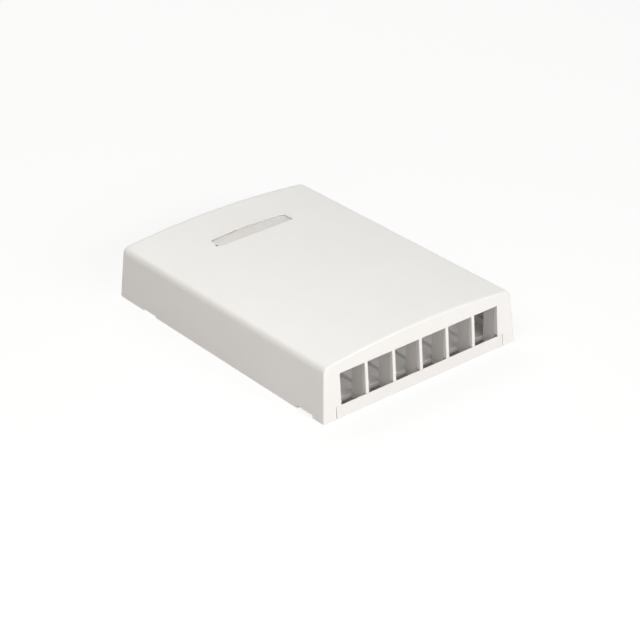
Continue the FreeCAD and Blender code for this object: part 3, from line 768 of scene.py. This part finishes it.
@dataclass
class CoverScrew:
    """The pan-head screw that holds the cover down."""

    pitch: float = 1.1 * MM
    thread_depth: float = 0.32 * MM
    thread_from_tip: float = 1.3 * MM
    thread_from_head: float = 1.2 * MM
    shank_radius: float = 1.75 * MM
    head_height: float = 2.0 * MM
    recess_reach: float = 1.7 * MM
    recess_width: float = 0.9 * MM
    recess_depth: float = 1.2 * MM
    recess_taper: float = 0.55
    edge_ease: float = 0.05 * MM
    sides: int = 48
    finish: ZincPlate = SCREW_ZINC

    def build(self) -> None:
        """Makes the screw's body and the thread round it."""
        low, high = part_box("cover_screw")
        axis = Vector(((low.x + high.x) / 2, (low.y + high.y) / 2, 0))
        radius = (high.x - low.x) / 2
        material = self.finish.material()
        body = self._body(axis, low.z, high.z, radius, material)
        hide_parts("cover_screw")
        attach(body, "cover")
        thread = self._thread(axis, low.z, high.z - self.head_height, material)
        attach(thread, "cover")
        log.info("%s and %s built", body.name, thread.name)

    def _body(
        self, axis: Vector, tip: float, crest: float, radius: float, material: bpy.types.Material
    ) -> bpy.types.Object:
        """Head, shank and point, turned about the axis, with a cross recess.

        Args:
            axis: Place of the screw's axis.
            tip: Height of the point.
            crest: Height of the head's top.
            radius: Radius of the head.
            material: Plating.

        Returns:
            The screw's body.
        """
        seat = crest - self.head_height
        core = self.shank_radius - self.thread_depth
        profile = [
            (0.0, tip),
            (0.25 * MM, tip + 0.08 * MM),
            (core * 0.55, tip + 0.9 * MM),
            (core, tip + 2.0 * MM),
            (core, seat - 0.8 * MM),
            (core + 0.25 * MM, seat - 0.12 * MM),
            (core + 0.5 * MM, seat),
            (radius - 0.15 * MM, seat),
            (radius, seat + 0.15 * MM),
            (radius, crest - 1.15 * MM),
            (radius - 0.12 * MM, crest - 0.75 * MM),
            (radius - 0.42 * MM, crest - 0.38 * MM),
            (radius - 0.95 * MM, crest - 0.1 * MM),
            (radius - 1.5 * MM, crest),
            (0.0, crest),
        ]
        shape = bmesh.new()
        points = [shape.verts.new((axis.x + r, axis.y, z)) for r, z in profile]
        edges = [shape.edges.new(pair) for pair in zip(points, points[1:])]
        bmesh.ops.spin(
            shape,
            geom=points + edges,
            cent=axis,
            axis=(0, 0, 1),
            angle=math.tau,
            steps=self.sides,
            use_merge=True,
        )
        bmesh.ops.remove_doubles(shape, verts=shape.verts, dist=1e-7)
        body = piece("cover_screw_body", shape, material)
        for half_x, half_y in (
            (self.recess_reach, self.recess_width / 2),
            (self.recess_width / 2, self.recess_reach),
        ):
            cutter = self._bar(axis, crest, half_x, half_y, material)
            cut = body.modifiers.new("cross", "BOOLEAN")
            cut.operation, cut.solver, cut.object = "DIFFERENCE", "EXACT", cutter
            settle(body)
            bpy.data.objects.remove(cutter)
        soften(body, self.edge_ease, 2, angle=35.0)
        return body

    def _bar(
        self, axis: Vector, crest: float, half_x: float, half_y: float, material: bpy.types.Material
    ) -> bpy.types.Object:
        """One tapered bar of the cross, used only to cut the recess.

        Args:
            axis: Place of the screw's axis.
            crest: Height of the head's top.
            half_x: Half of the bar's size along x.
            half_y: Half of the bar's size along y.
            material: Plating.

        Returns:
            The bar, which reaches from above the head to the recess's floor.
        """
        shape = bmesh.new()
        for vert in bmesh.ops.create_cube(shape, size=1.0)["verts"]:
            upper = vert.co.z > 0
            taper = 1.0 if upper else self.recess_taper
            vert.co = Vector(
                (
                    axis.x + math.copysign(half_x * taper, vert.co.x),
                    axis.y + math.copysign(half_y * taper, vert.co.y),
                    crest + 0.3 * MM if upper else crest - self.recess_depth,
                )
            )
        return piece("cross_cutter", shape, material)

    def _thread(
        self, axis: Vector, tip: float, seat: float, material: bpy.types.Material
    ) -> bpy.types.Object:
        """The helical thread, made by a node tree.

        Args:
            axis: Place of the screw's axis.
            tip: Height of the point.
            seat: Height of the underside of the head.
            material: Plating.

        Returns:
            The thread as a plain mesh.
        """
        start = tip + self.thread_from_tip
        length = seat - self.thread_from_head - start
        tree = ThreadTree().tree
        shape = bmesh.new()
        thread = piece("cover_screw_thread", shape, material)
        maker = thread.modifiers.new("thread", "NODES")
        maker.node_group = tree
        values = {
            "Turns": length / self.pitch,
            "Height": length,
            "Radius": self.shank_radius - self.thread_depth * 0.55,
            "Thread Depth": self.thread_depth * 0.62,
            "Centre": (axis.x, axis.y, start),
            "Plating": material,
        }
        for socket in tree.interface.items_tree:
            if socket.name in values:
                maker[socket.identifier] = values[socket.name]
        settle(thread)
        return thread


class ThreadTree:
    """A node tree for a helical ridge, with its sizes as named inputs."""

    INPUTS = (
        ("Turns", "NodeSocketFloat"),
        ("Height", "NodeSocketFloat"),
        ("Radius", "NodeSocketFloat"),
        ("Thread Depth", "NodeSocketFloat"),
        ("Centre", "NodeSocketVector"),
        ("Plating", "NodeSocketMaterial"),
    )

    def __init__(self) -> None:
        """Builds the tree."""
        self.tree = bpy.data.node_groups.new("screw_thread", "GeometryNodeTree")
        for name, kind in self.INPUTS:
            self.tree.interface.new_socket(name, in_out="INPUT", socket_type=kind)
        self.tree.interface.new_socket("Mesh", in_out="OUTPUT", socket_type="NodeSocketGeometry")
        graph = Graph(self.tree)
        given = self.tree.nodes.new("NodeGroupInput")

        def value(name: str) -> Wire:
            """The wire of a named input."""
            return Wire(graph, given.outputs[name])

        helix = graph.add(
            "GeometryNodeCurveSpiral",
            sockets={
                "Resolution": 36,
                "Rotations": value("Turns"),
                "Start Radius": value("Radius"),
                "End Radius": value("Radius"),
                "Height": value("Height"),
            },
        )
        ridge = graph.add(
            "GeometryNodeCurvePrimitiveCircle",
            {"mode": "RADIUS"},
            {"Resolution": 4, "Radius": value("Thread Depth")},
        )
        swept = graph.add(
            "GeometryNodeCurveToMesh",
            sockets={"Curve": helix, "Profile Curve": ridge, "Fill Caps": True},
        )
        placed = graph.add(
            "GeometryNodeTransform", sockets={"Geometry": swept, "Translation": value("Centre")}
        )
        plain = graph.add("GeometryNodeRealizeInstances", sockets={"Geometry": placed})
        plated = graph.add(
            "GeometryNodeSetMaterial", sockets={"Geometry": plain, "Material": value("Plating")}
        )
        graph.add("NodeGroupOutput", sockets={"Mesh": plated})


@dataclass
class AdhesivePad:
    """One foam strip with its release paper, split across the middle."""

    node: str
    paper_thickness: float = 0.1 * MM
    leaf_share: float = 0.9
    edge_ease: float = 0.08 * MM
    corner: float = 1.6 * MM
    split: float = 0.25 * MM
    steps: int = 6

    def build(self, foam: bpy.types.Material, paper: bpy.types.Material) -> None:
        """Makes the strip and the two leaves of its paper.

        Args:
            foam: Finish of the strip.
            paper: Finish of the leaves.
        """
        low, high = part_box(self.node)
        middle = (low.y + high.y) / 2
        leaf_top = low.z + self.paper_thickness * self.leaf_share
        foam_foot = Vector((low.x, low.y, low.z + self.paper_thickness))
        strip = self._slab("foam", foam_foot, high, foam)
        near_end = Vector((high.x, middle - self.split / 2, leaf_top))
        near = self._slab("paper_near", low, near_end, paper)
        far_start = Vector((low.x, middle + self.split / 2, low.z))
        far = self._slab("paper_far", far_start, Vector((high.x, high.y, leaf_top)), paper)
        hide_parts(self.node)
        for item in (strip, near, far):
            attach(item, "base")
        log.info("%s built with its release paper", self.node)

    def _slab(self, part: str, low: Vector, high: Vector, material: bpy.types.Material) -> bpy.types.Object:
        """A flat strip with round corners.

        Args:
            part: Name of the part of the pad.
            low: Lowest corner.
            high: Highest corner.
            material: Its finish.

        Returns:
            The piece.
        """
        shape = bmesh.new()
        left, right = low.x + self.corner, high.x - self.corner
        near, far = low.y + self.corner, high.y - self.corner
        ring = []
        for x, y, start in ((right, near, -90), (right, far, 0), (left, far, 90), (left, near, 180)):
            for step in range(self.steps + 1):
                angle = math.radians(start + 90 * step / self.steps)
                turn = (self.corner * math.cos(angle), self.corner * math.sin(angle))
                ring.append(shape.verts.new((x + turn[0], y + turn[1], low.z)))
        face = shape.faces.new(ring)
        made = bmesh.ops.extrude_face_region(shape, geom=[face])
        raised = [vert for vert in made["geom"] if isinstance(vert, bmesh.types.BMVert)]
        thickness = high.z - low.z
        bmesh.ops.translate(shape, verts=raised, vec=(0, 0, thickness))
        item = piece(f"{self.node}_{part}", shape, material)
        soften(item, min(self.edge_ease, thickness * 0.3), 2, angle=60.0)
        return item


# ------------------------------------------------------------------ studio


@dataclass(frozen=True)
class Lamp:
    """A soft rectangular lamp."""

    name: str
    place: Point
    size: tuple[float, float]
    watts: float
    colour: Colour = (1.0, 1.0, 1.0)
    target: Point = (0.0, 0.0, 0.01)

    def build(self) -> None:
        """Hangs the lamp."""
        light = bpy.data.lights.new(self.name, "AREA")
        light.shape = "RECTANGLE"
        light.size, light.size_y = self.size
        light.energy, light.color = self.watts, self.colour
        item = bpy.data.objects.new(self.name, light)
        item.location = self.place
        aim = Vector(self.target) - Vector(self.place)
        item.rotation_euler = aim.to_track_quat("-Z", "Y").to_euler()
        bpy.context.scene.collection.objects.link(item)


@dataclass
class Studio:
    """Floor, backdrop light, lamps and camera."""

    lamps: tuple[Lamp, ...] = (
        Lamp("front", (0.0, -1.37, 0.61), (0.8, 0.5), 10.9, (1.0, 0.995, 0.98)),
        Lamp("right_low", (0.588, -1.261, 0.562), (0.8, 0.5), 4.1, (0.94, 0.98, 1.0)),
        Lamp("left_low", (-0.906, -1.08, 0.513), (0.8, 0.5), 4.1, (1.0, 0.87, 0.85)),
        Lamp("near_left", (-0.384, -0.179, 0.678), (0.4, 0.3), 1.83, (1.0, 1.0, 0.975)),
        Lamp("side", (-1.11, 0.097, 1.004), (0.8, 0.5), 2.1, (1.0, 0.96, 0.94)),
        Lamp("rear", (0.0, 0.964, 1.149), (1.0, 0.6), 5.6, (1.0, 0.995, 0.97)),
        Lamp("right_rear", (0.75, 0.75, 1.061), (1.0, 0.8), 3.8, (1.0, 0.995, 0.97)),
        Lamp("under", (0.0, 0.0, -1.2), (0.5, 0.5), 7.5),
    )
    sky: Colour = (1.0, 0.965, 0.935)
    sky_strength: float = 0.01
    floor_colour: Colour = (0.58, 0.57, 0.56)
    floor_half: float = 6.0
    floor_drop: float = 0.15 * MM
    floor_shine: float = 1.02
    # painted shade: darker floor colour inside the base's outline, standing in for its shadow
    painted_shade_colour: Colour = (0.42, 0.41, 0.40)
    cover_fade: float = 3.0 * MM
    shadow_share: float = 0.22
    touch: float = 1.3 * MM
    camera_place: Point = (-0.59626, -0.72268, 0.52681)
    camera_turn: float = 39.753
    camera_fall: float = 29.433
    focal_length: float = 123.68

    def build(self) -> None:
        """Sets up the studio."""
        self._sky()
        self._floor()
        for lamp in self.lamps:
            lamp.build()
        self._camera()
        bpy.context.scene.view_settings.view_transform = "Standard"
        log.info("studio ready with %d lamps", len(self.lamps))

    @staticmethod
    def _seen(graph: Graph) -> Wire:
        """Finds the rays that show the surroundings.

        Args:
            graph: Tree that gets the nodes.

        Returns:
            1 for straight and mirrored rays and those through glass, and 0 for others.
        """
        kinds = ("Camera", "Glossy", "Transmission")
        camera, glossy, through = (graph.add("ShaderNodeLightPath", out=f"Is {kind} Ray") for kind in kinds)
        return camera.most(glossy).most(through)

    def _sky(self) -> None:
        """A warm and very dim sky that looks plain white to the camera."""
        world = bpy.data.worlds.new("studio_sky")
        world.use_nodes = True
        bpy.context.scene.world = world
        graph = Graph(world.node_tree)
        lit = graph.add(
            "ShaderNodeBackground", sockets={"Color": (*self.sky, 1.0), "Strength": self.sky_strength}
        )
        shown = graph.add("ShaderNodeBackground", sockets={"Color": (1.0, 1.0, 1.0, 1.0), "Strength": 1.0})
        both = graph.add("ShaderNodeMixShader", sockets={0: self._seen(graph), 1: lit, 2: shown})
        graph.add("ShaderNodeOutputWorld", sockets={"Surface": both})

    def _floor(self) -> None:
        """A pale floor that keeps a soft shadow, with a darker colour painted under the box as painted shade.

        It is clear from below, and lets the lamp below it reach what touches it.
        """
        shader = Shader("studio_floor")
        speck = shader.noise(0.002, detail=2.0)
        shade = tuple(part * 0.99 for part in self.floor_colour)
        lit = self._diffuse(shader, shader.blend(speck, self.floor_colour, shade))
        white = self._diffuse(shader, (1.0, 1.0, 1.0, 1.0))
        bright = shader.add(
            "ShaderNodeEmission", sockets={"Color": (1.0, 1.0, 1.0, 1.0), "Strength": self.floor_shine}
        )
        shown = self._mixed(shader, self.shadow_share, bright, white)
        open_floor = self._mixed(shader, self._seen(shader), lit, shown)
        # painted shade: a darker diffuse floor under the base, standing in for the shadow there
        dim = self._diffuse(shader, (*self.painted_shade_colour, 1.0))
        top = self._mixed(shader, self._painted_shade_mask(shader), open_floor, dim)
        behind = shader.add("ShaderNodeNewGeometry", out="Backfacing")
        length = shader.add("ShaderNodeLightPath", out="Ray Length")
        touching = length.step(self.touch, self.touch - 0.2 * MM)
        lit_below = touching * shader.add("ShaderNodeLightPath", out="Is Shadow Ray")
        clear = shader.add("ShaderNodeBsdfTransparent")
        surface = self._mixed(shader, behind.most(lit_below), top, clear)
        shape = bmesh.new()
        level = Matrix.Translation((0, 0, -self.floor_drop))
        bmesh.ops.create_grid(shape, x_segments=1, y_segments=1, size=self.floor_half, matrix=level)
        floor = piece("studio_floor", shape, shader.close(surface))

    @staticmethod
    def _diffuse(shader: Shader, colour: Wire | tuple[float, ...]) -> Wire:
        """A matt surface of that colour."""
        return shader.add("ShaderNodeBsdfDiffuse", sockets={"Color": colour})

    @staticmethod
    def _mixed(shader: Shader, share: Wire | float, first: Wire, second: Wire) -> Wire:
        """The first surface, with a share of the second."""
        return shader.add("ShaderNodeMixShader", sockets={0: share, 1: first, 2: second})

    def _painted_shade_mask(self, shader: Shader) -> Wire:
        """Finds the floor that the base hides from the lamps, which gets a darker colour as painted shade.

        Args:
            shader: Shader that gets the nodes.

        Returns:
            1 there, and 0 outside it.
        """
        low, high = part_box("base")
        x, y, _ = shader.axes()
        half = (high - low) / 2
        side = abs(x - (low.x + half.x)).step(half.x, half.x - self.cover_fade)
        depth = abs(y - (low.y + half.y)).step(half.y, half.y - self.cover_fade)
        return side * depth

    def _camera(self) -> None:
        """A long lens from the front left, looking down."""
        lens = bpy.data.cameras.new("camera")
        lens.lens, lens.sensor_width = self.focal_length, 36.0
        lens.clip_start, lens.clip_end = 0.01, 50.0
        camera = bpy.data.objects.new("camera", lens)
        camera.location = self.camera_place
        camera.rotation_euler = (
            math.radians(90 - self.camera_fall),
            0.0,
            math.radians(-self.camera_turn),
        )
        bpy.context.scene.collection.objects.link(camera)
        bpy.context.scene.camera = camera


# ------------------------------------------------------------------ whole


def main() -> None:
    """Builds every piece in order."""
    logging.basicConfig(level=logging.INFO, format="%(name)s: %(message)s")
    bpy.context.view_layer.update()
    Studio().build()
    Base().build()
    Cover().build()
    LabelPocket().build()
    CoverScrew().build()
    foam, paper = PAD_FOAM.material(), PAD_PAPER.material()
    for node in ("adhesive_pad_left", "adhesive_pad_right"):
        AdhesivePad(node).build(foam, paper)


if __name__ == "__main__":
    main()
